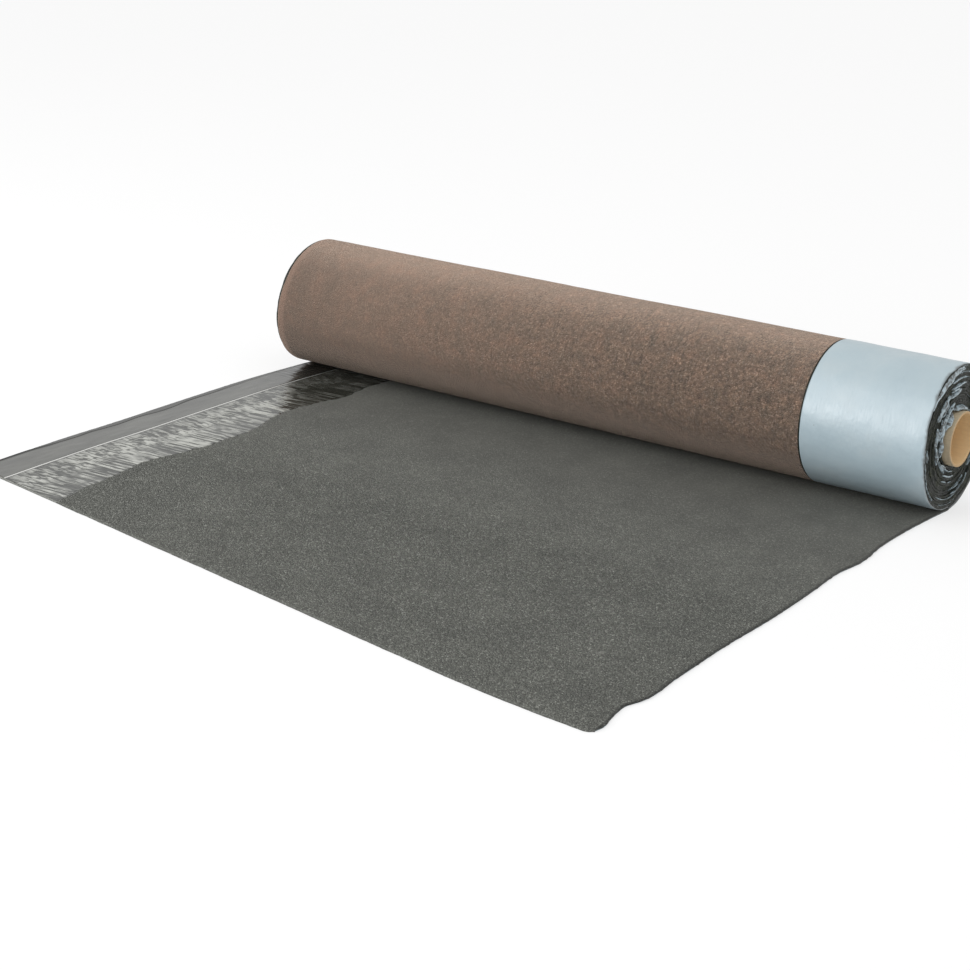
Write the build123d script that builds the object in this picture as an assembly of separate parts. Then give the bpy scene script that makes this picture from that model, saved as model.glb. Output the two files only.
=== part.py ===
from build123d import *
import math
import os

# Part-used roll of mineral-surfaced roofing felt on its cardboard core, lying on the loose tail
# that has been unrolled from it. While it is drawn, X runs along the roll from its left end,
# the roll stands on the line Y = 0, the tail points to -Y and the floor is Z = 0.

# Felt sheet
sheet_width = 1000.0
sheet_thickness = 3.0
granule_depth = 0.8
winding_gap = 0.4
roll_radius = 92.2

# Loose tail, measured from the line where the roll meets it
tail_length_left = 637.5
front_edge_skew = 133.5
left_edge_bow = 20.0
bow_fade_width = 400.0
right_edge_wander = 5.0
nip_reach = 8.4

# Marks that the turns leave on both ends of the roll
end_groove_depth = 3.0

# Release film on the underside, along the right edge
film_strip_width = 160.0
film_thickness = 0.4
film_gap = 0.3
film_lip = 3.0

# Selvedge along the left edge of the upper side
selvedge_width = 163.0
tape_inset = 8.0
tape_width = 44.0
tape_thickness = 0.4
lap_film_thickness = 0.3
selvedge_joint = 0.6

# Cardboard core
core_outer_diameter = 68.0
core_wall = 3.0
core_length = 1000.0
core_stand_out = 10.0
core_clearance = 0.2

overrun = 5.0

# Where the front edge bends: how far across the sheet, and how much of its skew is reached there.
FRONT_BEND_SHARES = (0.80, 0.87)

# The wander of the right edge: how far back from the front corner as a share of the tail's length
# on the right, and how far out as a share of right_edge_wander.
RIGHT_EDGE_SHARES = [
    (1.000, 0.10),
    (0.972, 0.70),
    (0.959, 0.10),
    (0.934, -0.66),
    (0.909, -0.90),
    (0.889, 0.10),
    (0.800, 0.00),
    (0.674, -0.50),
    (0.560, -0.18),
    (0.420, -0.80),
    (0.355, -1.35),
    (0.286, -0.34),
    (0.217, -1.30),
    (0.070, -0.90),
    (0.000, 0.00),
]

tail_length_right = tail_length_left + front_edge_skew
winding_pitch = sheet_thickness + winding_gap
quarter_step = winding_pitch / 4
hole_radius = core_outer_diameter / 2 + core_clearance
film_seat = film_thickness + film_gap
film_edge = sheet_width - film_strip_width
bare_top = sheet_thickness - granule_depth
tape_edge = tape_inset + tape_width
winding_centre = (quarter_step / 2, roll_radius + quarter_step / 2)


def quarter_centre(quarter):
    """Centre of one quarter turn: the four centres are the corners of a small square."""
    across = quarter_step if quarter % 4 in (1, 2) else 0
    up = quarter_step if quarter % 4 in (2, 3) else 0
    return (across, roll_radius + up)


def quarter_radius(quarter):
    return roll_radius - quarter * quarter_step


def quarter_arc(quarter, offset, skipped_angle=0.0):
    """One quarter of the winding line, moved outwards by offset, from the floor round the back."""
    start = 90 * quarter - 90 + skipped_angle
    return CenterArc(quarter_centre(quarter), quarter_radius(quarter) + offset, start, 90 - skipped_angle)


def wound_area(inset=0.0):
    """The whole section inside the outermost turn, closed by a line across the sheet."""
    arcs = [quarter_arc(quarter, -inset) for quarter in range(4)]
    closing = Line(arcs[-1] @ 1, arcs[0] @ 0)
    return make_face(arcs + [closing])


def wound_band(outside, inside, first_quarter, last_quarter, skipped_angle=0.0):
    """A band that follows the winding line between two offsets from it."""
    outer = []
    inner = []
    for quarter in range(first_quarter, last_quarter + 1):
        skipped = skipped_angle if quarter == first_quarter else 0.0
        outer.append(quarter_arc(quarter, outside, skipped))
        inner.append(quarter_arc(quarter, inside, skipped))
    start = Line(inner[0] @ 0, outer[0] @ 0)
    end = Line(inner[-1] @ 1, outer[-1] @ 1)
    return make_face(outer + inner + [start, end])


def along_roll(section, start, end):
    """Extrude a section, drawn as (Y, Z), from one place to another along the roll."""
    return extrude(Plane.YZ.offset(start) * section, amount=end - start)


def block(low, high):
    """A box between two corners."""
    size = [top - bottom for bottom, top in zip(low, high)]
    return Pos(*low) * Box(*size, align=(Align.MIN, Align.MIN, Align.MIN))


def lengthwise_line(across):
    """A line along the tail, bowed as the left edge is, and less the further it is from that edge."""
    bow = left_edge_bow * (1 - across / bow_fade_width)
    return ThreePointArc((across, 0), (across - bow, -tail_length_left / 2), (across, -tail_length_left))


def tail_outline():
    """Plan of the loose tail: a hand-cut skewed front edge and a right edge that wanders."""
    left_edge = lengthwise_line(0)
    nip_left = left_edge @ 0
    front_left = left_edge @ 1
    bend_across, bend_skew = FRONT_BEND_SHARES
    front_bend = Vector(bend_across * sheet_width, -tail_length_left - bend_skew * front_edge_skew)
    front_right = Vector(sheet_width, -tail_length_right)
    right_points = [
        (sheet_width + out * right_edge_wander, -back * tail_length_right)
        for back, out in RIGHT_EDGE_SHARES
    ]
    front_edge = Line(front_left, front_bend)
    before_bend = front_bend - front_left
    after_bend = front_right - front_bend
    corner_tangent = after_bend.normalized() * 2 - before_bend.normalized()
    front_curve = Spline(front_bend, right_points[0], tangents=[before_bend, corner_tangent])
    right_edge = Spline(*right_points)
    nip_line = Line(right_points[-1], nip_left)
    return make_face([left_edge, front_edge, front_curve, right_edge, nip_line])


def lengthwise_window(from_across, to_across):
    """Plan of a strip between two lines along the tail, carried on past the front edge."""
    first = lengthwise_line(from_across)
    second = lengthwise_line(to_across)
    further = front_edge_skew + overrun
    first_end = Line(first @ 1, (first @ 1) + (first % 1) * further)
    second_end = Line(second @ 1, (second @ 1) + (second % 1) * further)
    nip_line = Line(first @ 0, second @ 0)
    front_line = Line(first_end @ 1, second_end @ 1)
    return make_face([first, first_end, front_line, second_end, second, nip_line])


def selvedge_strip(from_across, to_across, thickness):
    """A film on the bare selvedge of the loose tail, which ends just short of the nip."""
    plan = lengthwise_window(from_across, to_across) & tail_outline()
    nip_room = block((0, -nip_reach - film_gap, 0), (to_across + overrun, overrun, sheet_thickness))
    return extrude(Pos(0, 0, bare_top) * plan, amount=thickness) - nip_room


def film_under_tail():
    """The part of the release film between the loose tail and the floor."""
    front_out = -tail_length_right - overrun
    window = block((film_edge, front_out, 0), (sheet_width + 2 * right_edge_wander, 0, film_thickness))
    return extrude(tail_outline(), amount=film_thickness) & window


def innermost_groove_quarter():
    """The last quarter turn that still has a full sheet between it and the core."""
    return int((roll_radius - hole_radius - sheet_thickness) / quarter_step)


def end_groove(outside, inside, start, end):
    """The spiral gap between neighbouring turns, cut into one end of the roll from the nip."""
    nip_angle = 90 - math.degrees(math.asin((nip_reach + overrun) / quarter_radius(3)))
    band = wound_band(outside, inside, 3, innermost_groove_quarter(), nip_angle)
    return along_roll(band, start, end)


def felt():
    """The wound turns and the loose tail, one sheet."""
    right_out = sheet_width + right_edge_wander + overrun
    front_out = -tail_length_right - overrun
    strip_start = film_edge - film_gap

    roll = along_roll(wound_area(), 0, strip_start)
    roll += along_roll(wound_area(film_seat), strip_start, sheet_width)
    tail = extrude(tail_outline(), amount=sheet_thickness)
    tail -= block((strip_start, front_out, -overrun), (right_out, 0, film_seat))
    nip_height = quarter_centre(3)[1] - math.sqrt(quarter_radius(3) ** 2 - nip_reach ** 2)
    nip = block((0, -nip_reach, 0), (strip_start, 0, nip_height))
    sheet = roll + tail + nip

    selvedge = Pos(0, 0, bare_top) * lengthwise_window(-overrun, selvedge_width)
    nip_room = block((-overrun, -nip_reach, 0), (selvedge_width, 0, sheet_thickness + overrun))
    sheet -= extrude(selvedge, amount=granule_depth + winding_gap / 2) - nip_room
    hole = Pos(-overrun, *winding_centre) * Rot(0, 90, 0) * Cylinder(
        hole_radius, sheet_width + 2 * overrun, align=(Align.CENTER, Align.CENTER, Align.MIN)
    )
    sheet -= hole
    sheet -= end_groove(granule_depth + winding_gap, 0, -overrun, end_groove_depth)
    sheet -= end_groove(winding_gap, -film_seat, sheet_width - end_groove_depth, sheet_width + overrun)
    return sheet


def underside_film():
    """Release film under the tail and round the outermost turn, flush in its seat."""
    turn = along_roll(wound_band(0, -film_thickness, 0, 3), film_edge, sheet_width + film_lip)
    nip_room = block(
        (film_edge - overrun, -nip_reach, sheet_thickness / 2),
        (sheet_width + film_lip + overrun, 0, sheet_thickness + overrun),
    )
    return turn - nip_room + film_under_tail()


def selvedge_tape():
    """Smooth peel-off strip on the bare selvedge, beside the sheet's left edge."""
    return selvedge_strip(tape_inset, tape_edge, tape_thickness)


def lap_film():
    """Thin film on the rest of the selvedge, up to the granules."""
    return selvedge_strip(tape_edge + selvedge_joint, selvedge_width - selvedge_joint, lap_film_thickness)


def core_tube():
    """Cardboard core, as long as the sheet is wide, pushed out at the right end."""
    outer = core_outer_diameter / 2
    ring = Pos(*winding_centre) * (Circle(outer) - Circle(outer - core_wall))
    end = sheet_width + core_stand_out
    return along_roll(ring, end - core_length, end)


pieces = {
    "felt_sheet": felt(),
    "underside_release_film": underside_film(),
    "selvedge_release_tape": selvedge_tape(),
    "selvedge_lap_film": lap_film(),
    "core_tube": core_tube(),
}

# The finished part has its origin on the floor, at the centre of its footprint.
footprint = Compound(children=[Part() + piece for piece in pieces.values()]).bounding_box()
to_origin = Pos(-footprint.center().X, -footprint.center().Y, -footprint.min.Z)

os.makedirs("parts", exist_ok=True)
for node, piece in pieces.items():
    placed = to_origin * piece
    placed.label = node
    export_step(placed, f"parts/{node}.step")
    print(node, "volume", round(placed.volume), "mm3")
print("footprint centre while drawn", footprint.center())
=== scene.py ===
import math

import bpy
import numpy as np
from mathutils import Matrix, Vector


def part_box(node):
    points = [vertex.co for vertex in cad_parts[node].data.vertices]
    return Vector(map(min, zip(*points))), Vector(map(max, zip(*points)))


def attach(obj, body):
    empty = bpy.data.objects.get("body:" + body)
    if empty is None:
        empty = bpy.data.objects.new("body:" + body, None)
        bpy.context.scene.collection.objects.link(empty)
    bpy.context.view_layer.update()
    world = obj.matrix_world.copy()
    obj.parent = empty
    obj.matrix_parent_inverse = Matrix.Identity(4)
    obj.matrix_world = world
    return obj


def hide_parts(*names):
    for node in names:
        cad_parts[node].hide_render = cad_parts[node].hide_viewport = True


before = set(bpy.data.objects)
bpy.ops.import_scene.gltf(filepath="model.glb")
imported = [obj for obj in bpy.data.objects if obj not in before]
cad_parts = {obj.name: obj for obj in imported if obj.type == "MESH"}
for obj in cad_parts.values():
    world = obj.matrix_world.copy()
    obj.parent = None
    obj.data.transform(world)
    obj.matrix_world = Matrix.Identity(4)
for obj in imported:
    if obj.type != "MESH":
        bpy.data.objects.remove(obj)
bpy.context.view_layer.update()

MM = 0.001
TURN = 2 * math.pi

# Sizes of the roll and its tail, in metres. The selvedge's width is its mean, and its films begin a
# little way from the nip
SHEET_WIDTH = 1.0
SHEET_THICKNESS = 3.0 * MM
GRANULE_DEPTH = 0.8 * MM
WINDING_PITCH = 3.4 * MM
ROLL_RADIUS = 92.2 * MM
CORE_RADIUS = 34.0 * MM
CORE_WALL = 3.0 * MM
CORE_STAND_OUT = 10.0 * MM
FILM_STRIP = 0.160
TAPE_EDGE = 55.0 * MM
SELVEDGE_WIDTH = 154.0 * MM
TAIL_LEFT = 0.6375
FILMS_FROM_NIP = 8.8 * MM
HOLE_RADIUS = CORE_RADIUS + 0.2 * MM
BARE_TOP = SHEET_THICKNESS - GRANULE_DEPTH
QUARTER_STEP = WINDING_PITCH / 4
WOUND_TURNS = (ROLL_RADIUS - HOLE_RADIUS - SHEET_THICKNESS) / WINDING_PITCH

# Places in the frame
core_low, core_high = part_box("core_tube")
X_RIGHT = core_high.x - CORE_STAND_OUT
X_LEFT = X_RIGHT - SHEET_WIDTH
AXIS_Y = (core_low.y + core_high.y) / 2
AXIS_Z = (core_low.z + core_high.z) / 2
Y_NIP = AXIS_Y - QUARTER_STEP / 2
X_FILM = X_RIGHT - FILM_STRIP

# Front edge of the tail: its skew, and where it bends, as shares of the sheet's width and of the skew
FRONT_SKEW = 0.1335
FRONT_BEND_SHARES = (0.80, 0.87)
TAIL_RIGHT = TAIL_LEFT + FRONT_SKEW
FRONT_SLOPE = 1.2 * MM
CORNER_ACROSS = 9.0 * MM
CORNER_AWAY = 6.0 * MM

# The cut face of the front edge, downwards: height as a share of the sheet's, millimetres ahead, and
# how black it is
FRONT_PROFILE = (
    (0.94, 0.15, 0.0), (0.74, 0.55, 0.0), (0.48, 0.9, 0.0), (0.2, 1.15, 0.1), (0.03, 1.2, 0.5),
)

# Right edge of the tail: distance from the nip as a share of its length, and how far out as a share
# of its wander
RIGHT_WANDER = 5.0 * MM
RIGHT_EDGE_SHARES = (
    (0.000, 0.00), (0.070, -0.90), (0.217, -1.30), (0.286, -0.34), (0.355, -1.35), (0.420, -0.80),
    (0.560, -0.18), (0.674, -0.50), (0.800, 0.00), (0.889, 0.10), (0.909, -0.90), (0.934, -0.66),
    (0.959, 0.10), (0.972, 0.70), (1.000, 0.10),
)

# Lines along the left of the tail: distance from the nip in metres, and millimetres outwards (the left
# edge), from the sheet's edge (the tape's outer side) or from the selvedge's mean width (the granules)
LEFT_EDGE = (
    (0.00, 5.0), (0.07, 10.2), (0.11, 12.6), (0.26, 12.7), (0.32, 11.4), (0.40, 9.2), (0.50, 9.4),
    (0.555, 7.4), (0.60, 5.4), (0.6375, 3.4), (0.80, 0.0),
)
TAPE_SIDE = (
    (0.00, 3.0), (0.10, 5.0), (0.134, 7.0), (0.20, 8.5), (0.272, 8.7), (0.31, 12.5), (0.333, 11.5),
    (0.367, 7.5), (0.405, 10.0), (0.45, 7.0), (0.48, 8.5), (0.52, 6.0), (0.55, 1.6), (0.60, 0.6),
    (0.66, 0.6),
)
GRANULE_LINE = (
    (0.00, 0.0), (0.07, -2.0), (0.117, 5.0), (0.165, -5.5), (0.25, -7.5), (0.285, 3.0), (0.38, 7.5),
    (0.43, 2.5), (0.49, -7.5), (0.54, -1.0), (0.60, 4.0), (0.66, 11.0), (0.80, 11.0),
)

# Crumpled film seen at the right end: turn, from and to in degrees round the roll from the floor over
# the back, and how far it stands out and folds inwards, in millimetres
SEEN_FLAPS = (
    (0.3, 168, 236, 2.6, 7.5), (1.6, 172, 226, 2.8, 3.0), (2.4, 150, 186, 2.4, 1.6),
    (4.6, 158, 196, 2.6, 2.0), (6.2, 164, 200, 3.0, 2.4), (13.0, 296, 330, 4.0, 2.6),
    (10.4, 330, 360, 2.6, 1.6), (2.4, 340, 372, 1.8, 0.9), (1.6, 266, 324, 2.2, 0.8),
    (4.2, 268, 280, 2.2, 1.0), (3.9, 326, 374, 1.8, 0.8), (7.8, 204, 240, 4.6, 4.0),
    (8.9, 176, 206, 3.8, 3.6), (8.0, 182, 200, 3.0, 2.0), (9.6, 210, 232, 3.0, 2.0),
    (10.2, 246, 270, 3.6, 1.5), (11.6, 232, 262, 4.4, 3.0), (12.6, 192, 262, 5.4, 3.6),
    (13.4, 234, 292, 5.0, 3.4), (11.0, 270, 296, 4.0, 2.6), (14.4, 146, 202, 7.6, 5.5),
    (14.9, 206, 250, 6.6, 3.0), (14.0, 308, 362, 5.0, 3.4), (12.2, 328, 366, 3.8, 3.0),
    (6.7, 356, 392, 3.0, 1.6), (5.4, 362, 400, 3.0, 1.4), (7.4, 350, 380, 2.4, 1.2),
)
FLAP_SEED = 41

# How far across the sheet the left edge's bow is felt, and from where the right edge's wander is
LEFT_BOW_FADE = 0.400
RIGHT_FADE_FROM = 0.955

# How far the ends stand out, in millimetres: the left one, which leans out at its foot, the film's
# right edge, and the flaps at the very most
LEFT_END_OUT = 3.6
LEFT_END_LEAN = 7.0
LEFT_END_DENT = 1.4
FILM_BULGE = 2.2
FILM_DENT = 0.9
FARTHEST_FLAP = 8.6

# The line of bare bitumen beside the release film, measured from the film's left edge
BROWN_STOP = 2.3 * MM
RING_START = 3.4 * MM
RING_END = 0.4 * MM

# How finely the round pieces are divided
ROLL_STEPS = 221
BAND_STEPS = 331
STEPS_PER_TURN = 190
CORE_STEPS = 160

# The radius of a middling turn, for noise along the turns, and how far apart the core's seams are
MEAN_TURN_RADIUS = 0.06
SEAM_PITCH = 0.105

# Camera, fitted to the photograph's edges in millimetres from the left foot of the roll
CAMERA_PLACE = (1924.278, -2199.691, 837.803)
CAMERA_AZIMUTH = 36.296
CAMERA_ELEVATION = 19.402
CAMERA_TILT = -1.2
CAMERA_FOCAL_PX = 2049.738
IMAGE_PX = 970
SENSOR_MM = 36.0

# Light and floor: each lamp's direction from the roll, size in metres and radiance
WORLD_STRENGTH = 0.85
LAMP_DISTANCE = 3.2
LAMPS = {
    "low_front_softbox": ((-0.535, -0.793, 0.26), (2.2, 0.7), 5.2),
    "high_front_softbox": ((-0.500, -0.800, 0.80), (2.8, 2.0), 1.15),
}
FLOOR_SIZE = 160.0
FLOOR_DROP = 0.2 * MM
FLOOR_GREY = (0.60, 0.60, 0.60)
FLOOR_GLOW = 0.62
WHITE = (1.0, 1.0, 1.0)

# Colours, as linear red, green and blue
WORN_STONE = (0.162, 0.165, 0.150)
TAR = (0.014, 0.015, 0.013)
GLAZED_TAR = (0.040, 0.041, 0.037)
CUT_FRONT = (0.34, 0.345, 0.32)
DARK_STREAK = (0.105, 0.090, 0.072)
CLEAN_RIM = (0.310, 0.200, 0.152)
BROWN_SHEEN = (1.0, 0.80, 0.66)
STONE_DUST = (0.17, 0.175, 0.135)
FILM_SPECK = (0.09, 0.10, 0.10)
# Soil on the film, also used as painted shade by the nip
FILM_SOIL_AND_SHADE = (0.060, 0.068, 0.066)
TAPE_EDGE_BLACK = (0.012, 0.013, 0.011)
TAPE_NIP_PAINTED_SHADE = (0.013, 0.014, 0.012)
STUCK_FILM = (0.022, 0.024, 0.019)
LIFTED_FILM = (0.50, 0.506, 0.466)
FILM_BEAD = (0.70, 0.70, 0.67)
CORE_RIM = (0.60, 0.405, 0.215)
CORE_SEAM = (0.18, 0.12, 0.07)


# Smooth noise. Each use has its own seed

def lattice(i, j, seed):
    """A fixed random number from -1 to 1 for each whole-numbered place."""
    i, j = i.astype(np.int64), j.astype(np.int64)
    mixed = (i * 374761393 + j * 668265263 + seed * 974634777) & 0xFFFFFFFF
    mixed = ((mixed ^ (mixed >> 13)) * 1274126177) & 0xFFFFFFFF
    mixed = (mixed ^ (mixed >> 16)) & 0xFFFF
    return mixed / 32767.5 - 1.0


def ripple(a, b, seed):
    """Smooth noise over two coordinates, one bump to each unit."""
    a, b = np.broadcast_arrays(np.asarray(a, float), np.asarray(b, float))
    i, j = np.floor(a), np.floor(b)
    s, t = a - i, b - j
    s = s * s * s * (s * (s * 6 - 15) + 10)
    t = t * t * t * (t * (t * 6 - 15) + 10)
    near = lattice(i, j, seed) * (1 - s) + lattice(i + 1, j, seed) * s
    far = lattice(i, j + 1, seed) * (1 - s) + lattice(i + 1, j + 1, seed) * s
    return near * (1 - t) + far * t


def layers(a, b, seed, count=3):
    """Noise with finer bumps laid over coarser ones."""
    total = 0.0
    for k in range(count):
        total = total + ripple(a * 2**k + 17.3 * k, b * 2**k - 9.1 * k, seed + 31 * k) / 2**k
    return total / 1.6


def ease(value, low, high):
    """Rises smoothly from 0 at low to 1 at high."""
    share = np.clip((value - low) / (high - low), 0, 1)
    return share * share * (3 - 2 * share)


# Shapes that several pieces share

def wound(angle, offset=0.0):
    """Places (y, z) at an angle along the winding, from the floor round the back, moved outwards."""
    quarter = np.floor(angle / (TURN / 4)).astype(int)
    across = np.where(np.isin(quarter % 4, (1, 2)), QUARTER_STEP, 0.0)
    up = np.where(np.isin(quarter % 4, (2, 3)), QUARTER_STEP, 0.0)
    radius = ROLL_RADIUS - quarter * QUARTER_STEP + offset
    return Y_NIP + across + radius * np.sin(angle), ROLL_RADIUS + up - radius * np.cos(angle)


def left_end(height):
    """Where the turns end on the left: the roll leans out a little towards its foot."""
    share = (height - ROLL_RADIUS) / ROLL_RADIUS
    dent = LEFT_END_DENT * np.exp(-((share - 0.35) / 0.4) ** 2)
    return X_LEFT + (-LEFT_END_OUT + LEFT_END_LEAN * share + dent) * MM


def right_turns_end(height):
    """Where the turns end on the right: level, a little inside the outermost turn's film."""
    return X_RIGHT - 0.8 * MM + 0 * height


def right_end(angle):
    """Where the outermost turn's film ends on the right."""
    turned = np.degrees(angle)
    bulge = FILM_BULGE * np.exp(-((turned - 272) / 42.0) ** 2)
    dent = FILM_DENT * np.exp(-((turned - 205) / 30.0) ** 2)
    return X_RIGHT + (bulge - dent) * MM


def curve_between(share, low, high, low_slope, high_slope):
    """A smooth curve from low to high as share goes from 0 to 1, with a slope at each end."""
    rest = 1 - share
    level = low * (1 + 2 * share) * rest**2 + high * share**2 * (3 - 2 * share)
    return level + low_slope * share * rest**2 - high_slope * share**2 * rest


def front_away(across):
    """Distance from the nip to the front edge: straight, then easing off to a blunt right corner."""
    bend_across, bend_skew = FRONT_BEND_SHARES
    after_bend = 1 - bend_across
    slope = bend_skew / bend_across
    last_slope = 2 * (1 - bend_skew) / after_bend - slope
    place = across / SHEET_WIDTH
    share = np.clip((place - bend_across) / after_bend, 0, 1)
    curve = curve_between(share, bend_skew, 1.0, slope * after_bend, last_slope * after_bend)
    skew = np.where(place < bend_across, slope * place, curve)
    blunt = np.clip((across - SHEET_WIDTH + CORNER_ACROSS) / CORNER_ACROSS, 0, 1)
    return TAIL_LEFT - FRONT_SLOPE + FRONT_SKEW * skew - CORNER_AWAY * (1 - np.sqrt(1 - 0.98 * blunt**2))


def front_cut(across):
    """The small unevenness of the hand-cut front edge."""
    return (0.30 * ripple(across / 0.021, 0.0, 55) + 0.22 * ripple(across / 0.004, 0.0, 56)) * MM


def line_through(points, place):
    """A smooth line through named points."""
    at, value = np.array(points).T
    slope = np.gradient(value, at)
    place = np.clip(place, at[0], at[-1])
    k = np.clip(np.searchsorted(at, place) - 1, 0, len(at) - 2)
    gap = at[k + 1] - at[k]
    share = (place - at[k]) / gap
    return curve_between(share, value[k], value[k + 1], gap * slope[k], gap * slope[k + 1])


def tail_place(across, away):
    """Places (x, y) on the loose tail, from the distance across the sheet and from the nip."""
    left_out = line_through(LEFT_EDGE, away) * MM
    left_fade = np.clip(1 - across / LEFT_BOW_FADE, 0, 1)
    right_out = line_through(RIGHT_EDGE_SHARES, away / TAIL_RIGHT) * RIGHT_WANDER
    right_fade = ease(across, RIGHT_FADE_FROM, SHEET_WIDTH)
    return X_LEFT + across - left_out * left_fade + right_out * right_fade, Y_NIP - away


def granule_start(away):
    """How far across the sheet the granules begin: a ragged line."""
    jag = 1.6 * ripple(away / 0.013, 3.0, 6) + 1.3 * ripple(away / 0.005, 8.0, 7)
    return SELVEDGE_WIDTH + (line_through(GRANULE_LINE, away) + jag) * MM


# Mesh building

def make_piece(name, points, faces, material, fields=None):
    """A smooth piece with fields, which are numbers at its points that the materials read."""
    mesh = bpy.data.meshes.new(name)
    mesh.from_pydata(points.reshape(-1, 3).tolist(), [], faces)
    for field, values in (fields or {}).items():
        layer = mesh.attributes.new(field, "FLOAT", "POINT")
        layer.data.foreach_set("value", np.asarray(values, np.float32).ravel())
    mesh.polygons.foreach_set("use_smooth", np.full(len(mesh.polygons), True))
    mesh.materials.append(material)
    mesh.validate()
    mesh.update()
    piece = bpy.data.objects.new(name, mesh)
    bpy.context.scene.collection.objects.link(piece)
    return piece


def sweep_faces(rows, columns, start=0):
    """Quads round a row of closed loops, with the first and last loop capped."""
    i, j = np.meshgrid(np.arange(rows - 1), np.arange(columns), indexing="ij")
    k, m = (j + 1) % columns, i + 1
    quads = np.stack([i * columns + j, i * columns + k, m * columns + k, m * columns + j], -1)
    faces = (quads.reshape(-1, 4) + start).tolist()
    faces.append(list(range(start + columns - 1, start - 1, -1)))
    last = start + (rows - 1) * columns
    faces.append(list(range(last, last + columns)))
    return faces


def sweep(name, loops, material, fields=None):
    """One piece made of one closed sweep."""
    rows, columns = loops.shape[:2]
    return make_piece(name, loops, sweep_faces(rows, columns), material, fields)


def several_sweeps(name, parts, material, fields):
    """One piece made of several closed sweeps."""
    points, faces, count = [], [], 0
    for loops in parts:
        rows, columns = loops.shape[:2]
        faces += sweep_faces(rows, columns, count)
        points.append(loops.reshape(-1, 3))
        count += rows * columns
    joined = {field: np.concatenate([v.ravel() for v in values]) for field, values in fields.items()}
    return make_piece(name, np.concatenate(points), faces, material, joined)


def stacked(x, y, z):
    """Points from their coordinates, any of which may be a single number or row."""
    return np.stack(np.broadcast_arrays(x, y, z), -1)


# Material building. Colours are linear, noise scales are bumps to a metre, and the fields across,
# along and from_left are in metres

class Nodes:
    """A material's node tree, with short calls for what the materials here use."""

    def __init__(self, name):
        self.material = bpy.data.materials.new(name)
        self.material.use_nodes = True
        self.tree = self.material.node_tree
        self.shader = self.tree.nodes["Principled BSDF"]

    def add(self, kind, inputs=None, **settings):
        node = self.tree.nodes.new(kind)
        for key, value in settings.items():
            setattr(node, key, value)
        for key, value in (inputs or {}).items():
            self.put(node.inputs[key], value)
        return node

    def put(self, socket, value):
        if isinstance(value, bpy.types.NodeSocket):
            self.tree.links.new(value, socket)
        else:
            socket.default_value = value

    def field(self, name):
        return self.add("ShaderNodeAttribute", attribute_name=name).outputs["Fac"]

    def places(self):
        return self.add("ShaderNodeTexCoord").outputs["Object"]

    def stretched(self, vector, scale):
        return self.add("ShaderNodeMapping", {"Vector": vector, "Scale": scale}).outputs["Vector"]

    def joined(self, x, y, z=0.0):
        return self.add("ShaderNodeCombineXYZ", {"X": x, "Y": y, "Z": z}).outputs["Vector"]

    def noise(self, vector, scale, detail=3.0, roughness=0.55, distortion=0.0):
        return self.add("ShaderNodeTexNoise", {
            "Vector": vector, "Scale": scale, "Detail": detail, "Roughness": roughness,
            "Distortion": distortion,
        }).outputs["Fac"]

    def cells(self, vector, scale):
        return self.add("ShaderNodeTexVoronoi", {"Vector": vector, "Scale": scale})

    def each_cell(self, cells, channel="Red"):
        """A random number for each cell."""
        return self.add("ShaderNodeSeparateColor", {"Color": cells.outputs["Color"]}).outputs[channel]

    def towards_back(self, vector):
        return self.add("ShaderNodeSeparateXYZ", {"Vector": vector}).outputs["Y"]

    def math(self, operation, a, b=0.0, clamp=False):
        return self.add("ShaderNodeMath", {0: a, 1: b}, operation=operation, use_clamp=clamp).outputs[0]

    def span(self, value, low, high, first=0.0, last=1.0):
        return self.add("ShaderNodeMapRange", {
            "Value": value, "From Min": low, "From Max": high, "To Min": first, "To Max": last,
        }).outputs["Result"]

    def ramp(self, value, *stops):
        node = self.add("ShaderNodeValToRGB", {"Fac": value})
        ramp = node.color_ramp
        while len(ramp.elements) < len(stops):
            ramp.elements.new(0.5)
        for element, (place, colour) in zip(ramp.elements, stops):
            element.position = place
            element.color = (*colour, 1)
        return node.outputs["Color"]

    def mix(self, share, a, b, blend="MIX"):
        """A colour between a and b. Sockets go by number here, because several share a name."""
        node = self.add("ShaderNodeMix", data_type="RGBA", blend_type=blend)
        self.put(node.inputs[0], share)
        for socket, value in ((node.inputs[6], a), (node.inputs[7], b)):
            self.put(socket, value if isinstance(value, bpy.types.NodeSocket) else (*value, 1))
        return node.outputs[2]

    def times(self, colour, factor, share=1.0):
        """A colour multiplied by another one, by a share."""
        return self.mix(share, colour, factor, "MULTIPLY")

    def blend(self, share, a, b):
        """A number between a and b."""
        node = self.add("ShaderNodeMix", {0: share, 2: a, 3: b}, data_type="FLOAT")
        return node.outputs[0]

    def bump(self, height, distance, strength=1.0, normal=None):
        inputs = {"Height": height, "Distance": distance, "Strength": strength}
        if normal is not None:
            inputs["Normal"] = normal
        return self.add("ShaderNodeBump", inputs).outputs["Normal"]

    def finish(self, **inputs):
        """Sets the shader's own sockets, named with _ for each space."""
        for key, value in inputs.items():
            self.put(self.shader.inputs[key.replace("_", " ")], value)
        return self.material


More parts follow.
